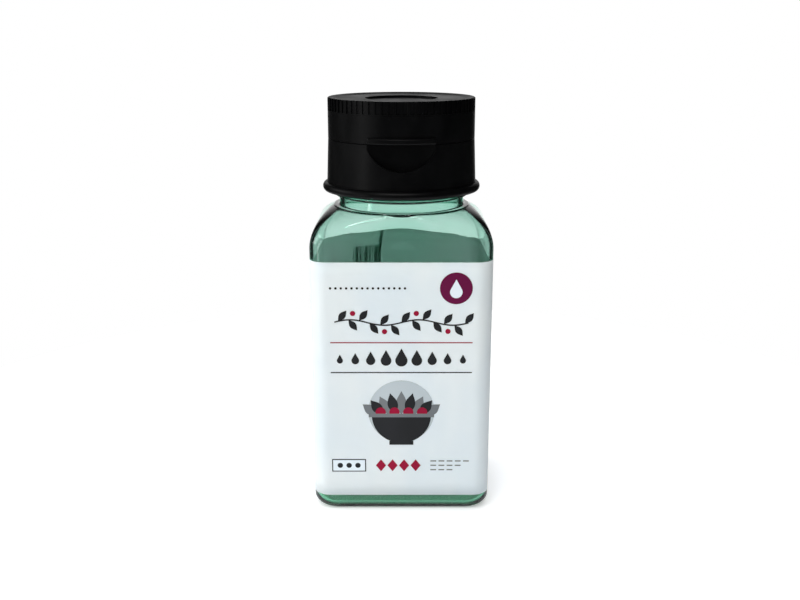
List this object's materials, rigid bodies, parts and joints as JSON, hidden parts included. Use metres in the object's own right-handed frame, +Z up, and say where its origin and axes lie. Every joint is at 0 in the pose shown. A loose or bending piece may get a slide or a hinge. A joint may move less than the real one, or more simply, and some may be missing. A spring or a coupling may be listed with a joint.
{
  "type": "dressing bottle",
  "caption": "Small clear rectangular bottle for salad dressing, with a wrap-round label, a black screw cap and a fluted flip lid on a living hinge.",
  "frame": {"origin": "on the surface the bottle stands on, under the middle of its base", "axes": "+Z up along the neck, -Y to the front with the thumb tab and the label's front panel, +Y to the lid's hinge, +X to the right seen from the front"},
  "size_m": [0.0522, 0.0458, 0.12],
  "materials": {
    "clear_bottle": "clear blown polyester with a pale green tint, polished",
    "label_film": "white printed film, satin",
    "cap_black": "black moulded polypropylene, satin",
    "liner_foam": "white foamed polyethylene, matte"
  },
  "bodies": {
    "bottle": {"bottle": "clear_bottle", "label": "label_film"},
    "cap_liner": {"liner": "liner_foam"},
    "cap": {"cap_base": "cap_black", "hinge_leaf_lower": "cap_black"},
    "lid": {"lid": "cap_black", "hinge_leaf_upper": "cap_black"}
  },
  "joints": [
    {"name": "cap_lift", "type": "slide", "parent": "bottle", "child": "cap_liner", "axis": [0, 0, 1], "range_m": [0, 0.0053]},
    {"name": "cap_turn", "type": "hinge", "parent": "cap_liner", "child": "cap", "pos_m": [0, 0, 0.1085], "axis": [0, 0, 1], "range_deg": [0, 450]},
    {"name": "lid_hinge", "type": "hinge", "parent": "cap", "child": "lid", "pos_m": [0, 0.02165, 0.10855], "axis": [-1, 0, 0], "range_deg": [0, 175]}
  ],
  "couplings": [
    {"joint": "cap_lift", "follows": "cap_turn", "m_per_rad": 0.00066845}
  ]
}
